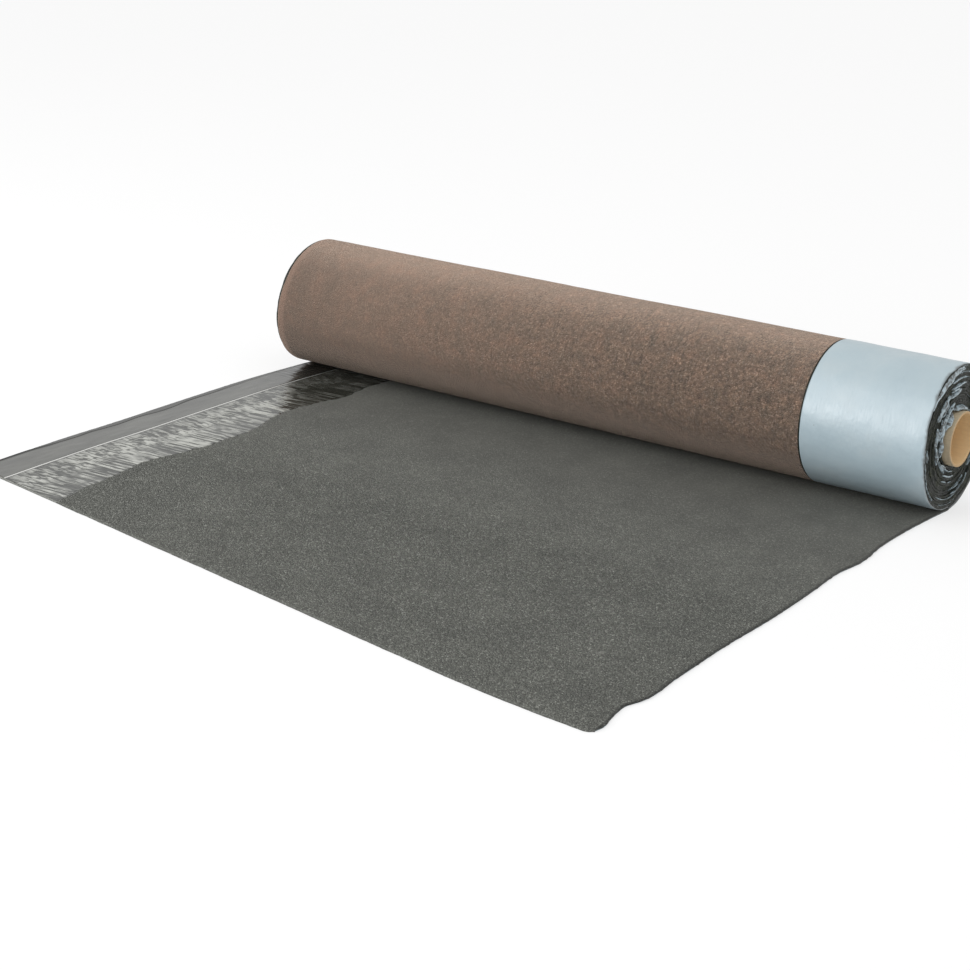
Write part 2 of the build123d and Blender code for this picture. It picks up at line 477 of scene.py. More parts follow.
def granules():
    """Crushed mineral on the upper side, with black bitumen where a field says so."""
    n = Nodes("mineral_granules")
    at = n.places()
    fine, coarse = n.cells(at, 900.0), n.cells(at, 520.0)
    stone = n.ramp(
        n.each_cell(fine),
        (0.0, (0.072, 0.074, 0.066)), (0.40, (0.122, 0.126, 0.112)),
        (0.75, (0.172, 0.177, 0.158)), (0.90, (0.26, 0.265, 0.237)), (1.0, (0.56, 0.57, 0.52)),
    )
    large = n.ramp(
        n.each_cell(coarse, "Green"),
        (0.0, (0.080, 0.082, 0.073)), (0.6, (0.152, 0.157, 0.140)),
        (0.90, (0.23, 0.236, 0.211)), (1.0, (0.46, 0.47, 0.43)),
    )
    grains = n.mix(0.45, stone, large)
    back = n.towards_back(at)
    far = n.math("MULTIPLY", n.span(back, -0.10, 0.22), 0.66, True)
    grains = n.mix(far, grains, WORN_STONE)
    # Towards the roll the grains are flattened and their bump weakened; the darkening by 0.68 there is
    # painted shade in place of the bump's own shading.
    worn = n.math("MULTIPLY", far, 1.45, True)
    grains = n.times(grains, (0.68, 0.67, 0.67), worn)
    # Painted light and shade by distance from the roll: lighter close to the nip, darker some way out on
    # the sheet.
    painted_light_and_shade = n.ramp(
        n.span(back, -0.20, 0.30),
        (0.0, (1.0, 1.0, 1.0)), (0.3, (0.93, 0.93, 0.93)), (0.64, (0.85, 0.85, 0.85)),
        (0.80, (0.94, 0.94, 0.94)), (1.0, (1.15, 1.16, 1.15)),
    )
    grains = n.times(grains, painted_light_and_shade)
    drift = n.ramp(n.noise(at, 14.0, 4.0, 0.6), (0.30, (0.86, 0.86, 0.86)), (0.70, (1.10, 1.10, 1.09)))
    grains = n.times(grains, drift)
    tar, glaze = n.field("tar"), n.field("glaze")
    colour = n.mix(tar, grains, TAR)
    colour = n.mix(glaze, colour, GLAZED_TAR)
    colour = n.mix(n.field("pale"), colour, CUT_FRONT)
    pits = n.math("MULTIPLY", coarse.outputs["Distance"], -420.0)
    relief = n.math("ADD", pits, n.noise(at, 1100.0, 2.0))
    rougher = n.math("SUBTRACT", 1.0, n.math("MAXIMUM", glaze, worn))
    normal = n.bump(relief, 0.0004, n.math("MULTIPLY", rougher, 0.6))
    rough = n.blend(glaze, n.blend(tar, 0.86, 0.32), 0.20)
    return n.finish(Base_Color=colour, Roughness=rough, Normal=normal, Specular_IOR_Level=0.4)


def brown_underside():
    """Sanded underside of the felt: even at the left, streaked and speckled towards the right."""
    n = Nodes("sanded_underside")
    at = n.places()
    across, along = n.field("across"), n.field("along")
    flat = n.joined(across, along)
    body = n.ramp(
        n.noise(flat, 38.0, 4.0, 0.6),
        (0.34, (0.210, 0.150, 0.114)), (0.50, (0.233, 0.161, 0.121)), (0.66, (0.260, 0.169, 0.124)),
    )
    right_side = n.span(across, 0.12, 0.60, 0.22, 1.0)
    streaks = n.noise(n.stretched(flat, (120.0, 30.0, 1.0)), 1.0, 5.0, 0.62, 0.6)
    dark_share = n.math("MULTIPLY", n.span(streaks, 0.50, 0.66), right_side, True)
    body = n.mix(n.math("MULTIPLY", dark_share, 0.48), body, DARK_STREAK)
    blotch = n.ramp(
        n.noise(flat, 85.0, 2.0, 0.6),
        (0.34, (0.86, 0.88, 0.90)), (0.66, (1.14, 1.11, 1.07)),
    )
    clumps = n.ramp(
        n.noise(flat, 230.0, 4.0, 0.68),
        (0.36, (0.66, 0.67, 0.68)), (0.50, (1.0, 1.0, 1.0)), (0.66, (1.45, 1.42, 1.38)),
    )
    for factor in (blotch, clumps, (0.80, 0.825, 0.83)):
        body = n.times(body, factor, right_side)
    grain = n.cells(at, 720.0)
    value = n.ramp(
        n.each_cell(grain),
        (0.0, (0.56, 0.57, 0.58)), (0.15, (0.88, 0.88, 0.89)),
        (0.80, (1.05, 1.05, 1.05)), (1.0, (1.75, 1.88, 2.00)),
    )
    mottle = n.ramp(
        n.noise(flat, 330.0, 2.0, 0.6),
        (0.35, (0.93, 0.93, 0.94)), (0.65, (1.07, 1.07, 1.06)),
    )
    body = n.times(body, mottle)
    body = n.times(body, value, n.span(across, 0.12, 0.60, 0.45, 0.9))
    body = n.times(body, (0.76, 0.77, 0.78), n.span(across, 0.03, 0.16, 0.75, 0.0))
    # Along the winding the back is at 0.14, the top at 0.29 and the front at 0.43
    # The top of the roll is painted lighter: painted light from above.
    top = n.math("MULTIPLY", n.span(along, 0.22, 0.27), n.span(along, 0.36, 0.31), True)
    body = n.times(body, (1.38, 1.36, 1.35), top)
    # Painted shade: the underside is painted nearly black towards the nip, in front and behind, where
    # the roll meets the floor.
    painted_nip_shade = n.math("MAXIMUM", n.span(along, 0.443, 0.515), n.span(along, 0.110, 0.040))
    body = n.times(body, (0.11, 0.11, 0.105), painted_nip_shade)
    rim = n.math("MULTIPLY", n.span(n.field("from_left"), 0.0075, 0.0125, 1.0, 0.0), 0.6)
    colour = n.mix(rim, body, CLEAN_RIM)
    pits = n.math("MULTIPLY", grain.outputs["Distance"], -500.0)
    relief = n.math("ADD", pits, n.math("MULTIPLY", streaks, 2.2))
    return n.finish(
        Base_Color=colour, Roughness=0.9, Normal=n.bump(relief, 0.0003, 0.4), Specular_IOR_Level=0.3,
        Sheen_Weight=0.65, Sheen_Roughness=0.40, Sheen_Tint=(*BROWN_SHEEN, 1),
    )


def bitumen():
    """Black bitumen of the cut edges, smeared and partly shiny."""
    n = Nodes("cut_bitumen")
    at = n.places()
    smear = n.noise(at, 130.0, 5.0, 0.65, 0.4)
    colour = n.ramp(
        smear,
        (0.30, (0.006, 0.008, 0.007)), (0.56, (0.015, 0.019, 0.013)), (0.74, (0.072, 0.076, 0.050)),
    )
    dust = n.span(n.noise(at, 380.0, 4.0, 0.65), 0.55, 0.72)
    dust_share = n.span(n.noise(at, 48.0, 3.0), 0.46, 0.62, 0.05, 0.75)
    colour = n.mix(n.math("MULTIPLY", dust, dust_share, True), colour, STONE_DUST)
    rough = n.span(smear, 0.3, 0.75, 0.30, 0.70)
    normal = n.bump(n.noise(at, 500.0, 4.0, 0.6), 0.0005, 0.6)
    return n.finish(Base_Color=colour, Roughness=rough, Normal=normal, Specular_IOR_Level=0.28)


def blue_film():
    """Pale blue release film, satin, with faint clouding and dark specks."""
    n = Nodes("blue_release_film")
    at = n.places()
    across, along = n.field("across"), n.field("along")
    colour = n.ramp(
        n.noise(at, 16.0, 4.0, 0.6),
        (0.30, (0.432, 0.550, 0.615)), (0.52, (0.468, 0.584, 0.644)), (0.75, (0.520, 0.618, 0.665)),
    )
    # The film on top of the roll is painted a little darker: painted shade.
    top = n.math("MULTIPLY", n.span(along, 0.415, 0.345), n.span(along, 0.10, 0.20), True)
    colour = n.times(colour, (0.85, 0.85, 0.84), top)
    speck = n.cells(at, 55.0)
    keep = n.math("GREATER_THAN", n.each_cell(speck), 0.95)
    dot = n.math("MULTIPLY", n.span(speck.outputs["Distance"], 0.05, 0.075, 1.0, 0.0), keep)
    colour = n.mix(n.math("MULTIPLY", dot, 0.8), colour, FILM_SPECK)
    # Soil at the film's right edge and on the flaps, and painted shade towards the nip.
    colour = n.mix(n.field("soil_and_shade"), colour, FILM_SOIL_AND_SHADE)
    brushed = n.noise(n.stretched(n.joined(across, along), (300.0, 70.0, 1.0)), 1.0, 3.0)
    rough = n.span(n.noise(at, 46.0, 4.0), 0.3, 0.7, 0.32, 0.46)
    waves = n.bump(n.noise(at, 30.0, 3.0, 0.5), 0.0020, 0.6)
    normal = n.bump(brushed, 0.0007, 0.55, waves)
    return n.finish(Base_Color=colour, Roughness=rough, Normal=normal, Specular_IOR_Level=1.0, IOR=1.62)


def smooth_tape():
    """Clear smooth strip over black bitumen."""
    n = Nodes("clear_tape")
    at = n.places()
    haze = n.noise(n.stretched(at, (40.0, 9.0, 40.0)), 1.0, 4.0, 0.6)
    colour = n.ramp(haze, (0.35, (0.036, 0.037, 0.030)), (0.70, (0.078, 0.079, 0.066)))
    edge = n.field("edge")
    colour = n.mix(edge, colour, TAPE_EDGE_BLACK)
    # Towards the nip the tape is painted nearly black: painted shade and a painted dark reflection of
    # the roll.
    by_nip = n.math("MULTIPLY", n.span(n.towards_back(at), 0.20, 0.28), 0.9, True)
    colour = n.mix(by_nip, colour, TAPE_NIP_PAINTED_SHADE)
    rough = n.blend(edge, n.span(n.noise(at, 60.0, 3.0), 0.3, 0.7, 0.10, 0.20), 0.8)
    normal = n.bump(n.noise(n.stretched(at, (90.0, 40.0, 90.0)), 1.0, 3.0), 0.0003, 0.4)
    normal = n.bump(n.noise(n.stretched(at, (40.0, 210.0, 1.0)), 1.0, 1.0), 0.0008, by_nip, normal)
    return n.finish(Base_Color=colour, Roughness=rough, Normal=normal, IOR=1.80)


def wrinkled_film():
    """Thin wrinkled film, clear where it sticks to the bitumen and milky where it has lifted."""
    n = Nodes("wrinkled_lap_film")
    at = n.places()
    streak = n.noise(n.stretched(at, (90.0, 460.0, 1.0)), 1.0, 4.0, 0.62, 0.5)
    milky = n.math("MULTIPLY", n.field("lift"), n.span(streak, 0.36, 0.56, 0.70, 1.0), True)
    colour = n.mix(milky, STUCK_FILM, LIFTED_FILM)
    colour = n.mix(n.field("bead"), colour, FILM_BEAD)
    rough = n.blend(milky, 0.15, 0.40)
    normal = n.bump(streak, 0.0003, 0.3)
    return n.finish(Base_Color=colour, Roughness=rough, Normal=normal, IOR=1.50)


def cardboard():
    """Brown board of the core, wound in a spiral, with a paler cut rim."""
    n = Nodes("core_board")
    at = n.places()
    fibre = n.noise(n.stretched(at, (60.0, 420.0, 420.0)), 1.0, 4.0, 0.6)
    colour = n.ramp(fibre, (0.32, (0.550, 0.455, 0.315)), (0.68, (0.640, 0.540, 0.375)))
    colour = n.mix(n.field("rim"), colour, CORE_RIM)
    # The bore is painted much lighter than the board outside: painted light inside the tube.
    inside = n.ramp(fibre, (0.32, (0.82, 0.595, 0.330)), (0.68, (0.88, 0.650, 0.365)))
    colour = n.mix(n.field("bore"), colour, inside)
    colour = n.mix(n.math("MULTIPLY", n.field("seam"), 0.45), colour, CORE_SEAM)
    normal = n.bump(fibre, 0.0004, 0.5)
    return n.finish(Base_Color=colour, Roughness=0.85, Normal=normal)


# Pieces

def roll_loops(first_x, last_x, share, angles, depth, relief):
    """Closed loops round a band of the roll's outside, with the places of the outer face.

    Each loop is a row of the outer face and two points further in.
    """
    start, end = first_x[:, None], last_x[:, None]
    x = start + (end - start) * share[None, :]
    along = (angles * ROLL_RADIUS)[:, None] + 0 * x
    outer_y, outer_z = wound(angles[:, None] + 0 * x, relief(x, along))
    inner_y, inner_z = wound(angles, -depth)
    last = stacked(last_x, inner_y, inner_z)[:, None, :]
    first = stacked(first_x, inner_y, inner_z)[:, None, :]
    return np.concatenate([stacked(x, outer_y, outer_z), last, first], 1), x, along


def with_ends(values, last, first):
    """A field for the outer face, with values for the two inner points of each loop."""
    rows = values.shape[0]
    return np.concatenate([values, np.full((rows, 1), last), np.full((rows, 1), first)], 1)


def make_roll_surface(material):
    """The sanded underside, which is the roll's outside, up to the bare line at the film."""
    angles = np.linspace(0.0, TURN, ROLL_STEPS)
    _, height = wound(angles)
    by_left = np.array([0.0, 0.4, 0.9, 1.6, 2.6, 4.4]) * MM / SHEET_WIDTH
    columns = np.concatenate([by_left, np.linspace(0.008, 0.992, 176), 1 - by_left[::-1]])
    # A thin line of bitumen shows beside the underside, wider on the side towards the camera
    shown = ease(np.sin(angles - math.radians(150)), 0.15, 0.8)
    first = left_end(height) + (1.0 + 3.0 * shown + 0.3 * ripple(angles * 4.6, 0.0, 13)) * MM
    last = X_FILM - BROWN_STOP + 0.3 * ripple(angles * 5.0, 0.0, 14) * MM

    def relief(x, along):
        swell = 0.35 * ripple(x / 0.16, along / 0.09, 11)
        swell = swell + 0.12 * layers(x / 0.016, along / 0.022, 12, 2)
        edge = ease(x - first[:, None], 0.0, 1.6 * MM)
        return (-0.42 + swell - 0.4 * (1 - edge)) * MM

    loops, x, along = roll_loops(first, last, columns, angles, 2.2 * MM, relief)
    fields = {
        "across": with_ends(x - X_LEFT, SHEET_WIDTH - FILM_STRIP, 0.0),
        "along": with_ends(along, 0.0, 0.0),
        "from_left": with_ends(x - first[:, None], SHEET_WIDTH - FILM_STRIP, 0.0),
    }
    return sweep("felt_roll_surface", loops, material, fields)


def make_bare_ring(material):
    """The line of bare bitumen between the brown underside and the release film."""
    angles = np.linspace(0.0, TURN, ROLL_STEPS)
    first = np.full_like(angles, X_FILM - RING_START)
    last = np.full_like(angles, X_FILM + RING_END)

    def relief(x, along):
        return (-0.95 + 0.1 * ripple(x / 0.001, along / 0.004, 15)) * MM

    loops, _, _ = roll_loops(first, last, np.linspace(0, 1, 5), angles, 2.0 * MM, relief)
    return sweep("felt_bare_ring", loops, material)


def make_film_band(material):
    """The release film round the outermost turn, crumpled and soiled at its right edge."""
    angles = np.linspace(0.0, TURN, BAND_STEPS)
    last = right_end(angles) + 0.5 * ripple(angles * 6, 0.0, 22) * MM
    first = np.full_like(angles, X_FILM)

    def relief(x, along):
        swell = 0.40 * ripple(x / 0.085, along / 0.07, 21) + 0.20 * ripple(x / 0.028, along / 0.024, 23)
        lip = ease(x, X_RIGHT - 7 * MM, X_RIGHT + 2 * MM)
        crumple = lip * (0.5 * ripple(x / 0.006, along / 0.011, 24) - 0.5)
        return (-0.60 + swell + crumple) * MM

    loops, x, along = roll_loops(first, last, np.linspace(0, 1, 86), angles, 2.0 * MM, relief)
    smudge = 1.2 * ripple(along / 0.012, 0.0, 25) * MM + 0.7 * ripple(along / 0.004, 0.0, 26) * MM
    edge_soil = 0.75 * ease(x - last[:, None] + smudge, -3.4 * MM, 0.6 * MM)
    # Painted shade: the film is painted darker towards the nip, where the roll meets the floor.
    painted_foot_shade = 0.5 * ease(along, 0.455, 0.56)
    fields = {
        "soil_and_shade": with_ends(np.maximum(edge_soil, painted_foot_shade), 1.0, 0.0),
        "across": with_ends(x - X_LEFT, SHEET_WIDTH, SHEET_WIDTH - FILM_STRIP),
        "along": with_ends(along, 0.0, 0.0),
    }
    return sweep("release_film_band", loops, material, fields)


def turn_edges(name, material, end_place, outward, seed, roughness, first_sink, groove):
    """The ends of all the wound turns: a ribbon as thick as the sheet, its first turn sunk a little."""
    angles = np.linspace(0.0, WOUND_TURNS * TURN, int(WOUND_TURNS * STEPS_PER_TURN))
    last_depth = 3.35 - 0.3 * groove
    depths = np.array([0.0, 0.0, 0.3, 0.95, 1.6, 2.25, 2.85, last_depth, last_depth]) * MM
    rise = np.array([-6.0, -0.7 * groove, -0.1, 0.1, 0.15, 0.05, -0.15, -0.8 * groove, -6.0]) * MM
    angle, depth = np.meshgrid(angles, depths, indexing="ij")
    turn = angle / TURN
    along = angle * MEAN_TURN_RADIUS
    shift = 1.0 * ripple(turn * 1.7, 0.0, seed) + 0.8 * ripple(turn * 9.0, turn * 0.6, seed + 1)
    wear = 0.55 * ripple(along / 0.004, depth / 0.0012, seed + 2)
    wear = wear + 0.35 * ripple(along / 0.0016, depth / 0.0009, seed + 3)
    body = (depth > 0.1 * MM) & (depth < 3.0 * MM)
    sideways = 0.22 * ripple(along / 0.007, 4.0, seed + 4) * MM
    sink = first_sink * (1 - ease(turn, 1.0, 1.15))
    y, z = wound(angle, -sink - depth - 0.25 * MM + sideways)
    unevenness = roughness * (shift + np.where(body, wear, 0.0)) * MM
    x = end_place(z) + outward * (rise + unevenness - 0.4 * MM)
    loops = stacked(x, y, z)
    if outward > 0:
        loops = loops[:, ::-1]
    return sweep(name, loops, material)


def make_flaps(material):
    """Crumpled edges of release film that stand out between the turns at the right end."""
    rng = np.random.default_rng(FLAP_SEED)
    plan = list(SEEN_FLAPS)
    for turn in np.arange(1.2, WOUND_TURNS - 1.5, 1.15):
        start = rng.uniform(20, 110)
        end = start + rng.uniform(26, 60)
        plan.append((turn, start, end, rng.uniform(2.0, 4.8), rng.uniform(0.6, 3.0)))
    parts, soils = [], []
    for turn, start, end, outwards, inwards in plan:
        rows = max(30, int((end - start) * 1.8))
        whole_turns = round(turn - (start + end) / 720)
        angle = whole_turns * TURN + np.radians(np.linspace(start, end, rows))
        a, w = np.meshgrid(angle, np.linspace(0, 1, 13), indexing="ij")
        seed = int(rng.integers(1000))
        taper = (np.sin(np.linspace(0, math.pi, rows)) ** 0.45)[:, None]
        size = taper * (0.78 + 0.32 * ripple(a * 5.0, 0.0, seed))
        crumple = 0.7 * ripple(a * 9.0, w * 1.6 + 5.0, seed + 3)
        crumple = crumple + 0.35 * ripple(a * 24.0, w * 3.0, seed + 2)
        out = outwards * size * np.sin(w * math.pi * 0.72) + w * crumple - 1.2 * (1 - w) - 0.2
        depth = 3.15 + inwards * size * w**1.3 + (w > 0) * crumple * 0.7
        turns_outside = (whole_turns + a % TURN / TURN) * WINDING_PITCH
        depth = np.minimum(depth, (ROLL_RADIUS - CORE_RADIUS - turns_outside) / MM - 0.9)
        x = X_RIGHT + np.minimum(out, FARTHEST_FLAP) * MM
        front = stacked(x, *wound(a, -depth * MM))
        back = stacked(x - 0.12 * MM, *wound(a, (-depth - 0.2) * MM))[:, ::-1]
        parts.append(np.concatenate([front, back], 1))
        smudge = 0.8 * ripple(a * 12.0, w * 2.6, seed + 4)
        smudge = smudge + 0.55 * ripple(a * 34.0, w * 4.5, seed + 5)
        # Smudges, darker towards the root between the turns.
        soil_and_shade = np.clip(0.24 + smudge + 0.30 * (1 - w), 0, 1)
        soils.append(np.concatenate([soil_and_shade, soil_and_shade[:, ::-1]], 1))
    return several_sweeps("release_film_flaps", parts, material, {"soil_and_shade": soils})


def tail_top_height(across, away, x):
    """Height of the tail's upper side: a gentle swell, and grain on the granules."""
    swell = 0.16 * ripple(x / 0.19, away / 0.15, 51) * ease(away, 0.02, 0.10)
    grain = 0.17 * layers(x / 0.0075, away / 0.0075, 52, 2) * (0.2 + 0.8 * ease(away, 0.12, 0.44))
    start = granule_start(away)
    stone = ease(across - start, -0.3 * MM, 0.5 * MM)
    return BARE_TOP + (GRANULE_DEPTH - 0.1 * MM) * stone + (swell + grain * stone) * MM, stone


def tail_grid(share):
    """Places (across, away) on the tail, from a little behind the nip.

    The columns follow the ragged line of the granules.
    """
    bare = np.array([0.0, 0.8, 1.6, 2.6, 4.0, 6.0, 8.0, 10.0, 20.0, 40.0, 60.0, 90.0, 120.0, 136.0]) * MM
    at_line = np.array([-1.8, -0.35, 0.35, 1.4]) * MM
    field = np.linspace(2.4 * MM, SHEET_WIDTH - SELVEDGE_WIDTH, 236)
    from_line = np.concatenate([at_line, field])
    back_room = 4 * MM
    plain = np.concatenate([bare, from_line + SELVEDGE_WIDTH])
    away_guess = share * (front_away(plain)[None, :] + back_room) - back_room
    pull = np.clip((0.5 - from_line) / 0.5, 0, 1)
    wander = granule_start(away_guess[:, len(bare):]) - SELVEDGE_WIDTH
    across = np.repeat(plain[None, :], len(share), 0)
    across[:, len(bare):] = SELVEDGE_WIDTH + from_line + wander * pull
    across[:, -1] = SHEET_WIDTH
    cut = front_cut(across) * ease(share, 0.9, 1.0)
    return across, share * (front_away(across) + back_room) - back_room + cut


def make_tail(material):
    """The loose tail, with bare selvedge, granules, rounded side edges and a cut front edge."""
    rows = 212
    share = np.linspace(0, 1, rows)[:, None] ** 0.985
    across, away = tail_grid(share)
    x, y = tail_place(across, away)
    frayed = 0.5 * ripple(away / 0.006, 1.0, 57) + 0.35 * ripple(away / 0.0022, 2.0, 58)
    x = x + frayed * MM * ease(across, 0.9985, 1.0) + 0.4 * frayed * MM * (1 - ease(across, 0.0, 0.002))
    z, stone = tail_top_height(across, away, x)
    round_left = (1 - ease(across, 0.0, 1.6 * MM)) * 0.35 * MM
    round_right = ease(across, SHEET_WIDTH - 2.2 * MM, SHEET_WIDTH) * (0.45 + 0.3 * frayed) * MM
    top = stacked(x, y, z - round_left - round_right)
    tar = (1 - stone) + 0.7 * ease(across + 0.5 * frayed * MM, SHEET_WIDTH - 1.0 * MM, SHEET_WIDTH)
    bare_line = (0.3 + 0.9 * ease(away, 0.50, 0.58)) * MM
    glaze = (1 - stone) * ease(across, bare_line, bare_line + 1.2 * MM)
    right_x, right_y = x[:, -1:], y[:, -1:]
    left_x, left_y = x[:, :1], y[:, :1]
    bulge = 0.35 * ripple(away[:, -1:] / 0.005, 7.0, 59) * MM
    sides = [
        stacked(right_x + 0.4 * MM + bulge, right_y, 1.7 * MM),
        stacked(right_x + 0.1 * MM - bulge, right_y, 0.75 * MM),
        stacked(right_x - 0.5 * MM, right_y, 0.42 * MM),
        stacked(left_x + 0.5 * MM, left_y, 0.02 * MM),
        stacked(left_x - 0.1 * MM, left_y, 0.5 * MM),
        stacked(left_x - 0.3 * MM, left_y, 1.2 * MM),
    ]
    loops = np.concatenate([top] + sides, 1)
    side_tar = np.array([0.55, 1.0, 1.0, 1.0, 1.0, 1.0])
    worn = 1 - 0.7 * ease(away[:, -1:] / TAIL_RIGHT, 0.915, 0.94)
    tar = np.concatenate([tar, side_tar * worn], 1)
    glaze = np.concatenate([glaze, np.zeros((rows, 6))], 1)
    last = loops[-1]
    rag = 0.5 * ripple(last[:, 0] / 0.006, 0.0, 60) + 0.4 * ripple(last[:, 0] / 0.0021, 0.0, 61)
    height, ahead, dark = np.array(FRONT_PROFILE).T[:, :, None]
    fronts = stacked(last[:, 0], last[:, 1] - (ahead + 0.25 * rag * height) * MM, last[:, 2] * height)
    front_pale = np.maximum(glaze[-1], 0.25) * (1 - dark)
    fields = {
        "tar": np.clip(np.concatenate([tar, dark + 0 * front_pale], 0), 0, 1),
        "glaze": np.concatenate([glaze, 0 * front_pale], 0),
        "pale": np.concatenate([0 * glaze, front_pale], 0),
    }
    loops = np.concatenate([loops, fronts], 0)
    loops[..., 2] = np.maximum(loops[..., 2], 0.0)
    return sweep("felt_tail", loops, material, fields)


def make_under_film(material):
    """Release film under the tail: its edge shows a little along the right side."""
    rows = 180
    share = np.linspace(0, 1, rows)[:, None]
    across = SHEET_WIDTH - FILM_STRIP + np.linspace(0, 1, 12)[None, :] * (FILM_STRIP - 0.4 * MM)
    away = share * (front_away(across) + 1.5 * MM) - 3 * MM
    x, y = tail_place(across, away)
    top = stacked(x, y, 0.38 * MM)
    bottom = stacked(x[:, ::-1], y[:, ::-1], 0.02 * MM)
    loops = np.concatenate([top, bottom], 1)
    soil_and_shade = np.full(loops.shape[:2], 0.25)
    return sweep("release_film_under_tail", loops, material, {"soil_and_shade": soil_and_shade})


def sweep_on_selvedge(name, across, away, height, material, fields):
    """A film on the bare selvedge, with its two sides drawn down to it."""
    x, y = tail_place(across, away)
    z = BARE_TOP + height * MM
    z[:, [0, -1]] = BARE_TOP + 0.02 * MM
    bottom = stacked(x[:, [-1, 0]], y[:, [-1, 0]], BARE_TOP - 0.1 * MM)
    loops = np.concatenate([stacked(x, y, z), bottom], 1)
    return sweep(name, loops, material, {field: with_ends(v, 0.0, 0.0) for field, v in fields.items()})


def selvedge_away(share, across):
    """Distance from the nip of places on the selvedge's films, which stop just short of the front."""
    return FILMS_FROM_NIP + share * (front_away(across) + front_cut(across) - FILMS_FROM_NIP - 0.1 * MM)


def make_tape(material):
    """The smooth tape, with a raised rim along its wavy outer side."""
    rows = 260
    share = np.linspace(0, 1, rows)[:, None]
    edge_columns = np.array([0.0, 0.5, 1.0, 1.6, 2.2, 2.8, 3.4, 4.0])[None, :] * MM
    spread = np.concatenate([np.linspace(0.13, 0.955, 22), [0.988, 1.0]])[None, :]
    away_guess = FILMS_FROM_NIP + share * (TAIL_LEFT - FILMS_FROM_NIP)
    wobble = 1.1 * ripple(share * 11, 0.0, 71) + 0.6 * ripple(share * 31, 0.0, 74)
    wobble = wobble * ease(away_guess, 0.1, 0.2)
    by_front = ease(away_guess, 0.50, 0.56)
    side = (line_through(TAPE_SIDE, away_guess) + wobble * (1 - by_front)) * MM
    columns = np.concatenate([edge_columns + 0 * side, spread * (TAPE_EDGE - side)], 1)
    across = side + columns
    away = selvedge_away(share, across)
    soft = 0.16 * ripple(across / 0.021, away / 0.034, 72)
    soft = soft + 0.13 * ripple(across / 0.006, away / 0.017, 73)
    rim = 0.35 * np.exp(-((columns - 1.0 * MM) / (0.7 * MM)) ** 2)
    wider = 1 + 0.8 * by_front
    edge = 1 - ease(columns + 0.5 * wobble * MM, 2.4 * MM * wider, 4.0 * MM * wider)
    edge = edge * (0.20 + 0.55 * ease(away_guess, 0.12, 0.26) + 0.25 * by_front)
    height = 0.30 + soft * 0.7 + rim
    return sweep_on_selvedge("selvedge_tape", across, away, height, material, {"edge": edge})


def lifted_film(inside, reach, away):
    """How far the film has lifted, from 0 to 1: combs of ridges by the granules, a net further in."""
    share = inside / reach
    by_granules = ease(share, 0.46, 0.66)
    wavy = 1.6 * MM * ripple(inside / 0.018, away / 0.013, 81) * (1 - 0.6 * by_granules)
    slant = away + 0.08 * inside + wavy
    comb = ease(ripple(inside / 0.040, slant / 0.0027, 82), 0.00, 0.30)
    comb = np.maximum(comb, 0.7 * ease(ripple(inside / 0.022, slant / 0.0021, 83), 0.20, 0.50))
    short = ease(ripple(inside / 0.010, slant / 0.0020, 84), 0.02, 0.36)
    net = ease(ripple(inside / 0.009, slant / 0.0024, 85), -0.22, 0.10)
    spread = 0.46 * ripple(inside / 0.026, away / 0.034, 86)
    spread = spread + 0.55 * ripple(inside / 0.009, away / 0.007, 87)
    netted = ease(spread, -0.10, 0.30)
    bare = ease(spread, -0.60, -0.25)
    by_tape = 1 - ease(share, 0.14, 0.30)
    middle = np.maximum(short * 0.70, netted * net) * (1 - 0.25 * by_tape)
    teeth = comb * (0.60 + 0.40 * netted)
    fine = 0.16 * ripple(inside / 0.009, slant / 0.0015, 88)
    lifted = (middle * (1 - by_granules) + teeth * by_granules) * (0.36 + 0.64 * bare)
    return np.clip(lifted + fine, 0, 1)


def make_lap_film(material):
    """The wrinkled film: many short ridges across the sheet, and a raised edge beside the tape."""
    rows, count = 1400, 48
    share = np.linspace(0, 1, rows)[:, None]
    away_guess = FILMS_FROM_NIP + share * (TAIL_LEFT + 0.018 - FILMS_FROM_NIP)
    inner = TAPE_EDGE + 0.1 * MM
    edge_columns = np.array([0.0, 0.5, 1.0, 1.6, 2.3, 3.0, 3.8, 4.8]) * MM
    spread = np.linspace(0.065, 1.0, count)[None, :]
    stop = granule_start(away_guess) - 0.5 * MM
    inside = np.concatenate([edge_columns[None, :] + 0 * stop, spread * (stop - inner)], 1)
    across = inner + inside
    away = selvedge_away(share, across)
    lifted = lifted_film(inside, stop - inner, away)
    clear_of_edge = ease(inside, 3.0 * MM, 6 * MM)
    lifted = lifted * clear_of_edge * (0.22 + 0.78 * ease(away - 0.9 * inside, 0.09, 0.17))
    bead = np.exp(-(((inside - 1.4 * MM) / (1.5 * MM)) ** 4)) * (0.25 + 0.75 * ease(away, 0.02, 0.20))
    height = 0.14 + 0.5 * lifted + 0.55 * bead
    fields = {"lift": lifted, "bead": bead}
    return sweep_on_selvedge("selvedge_lap_film", across, away, height, material, fields)


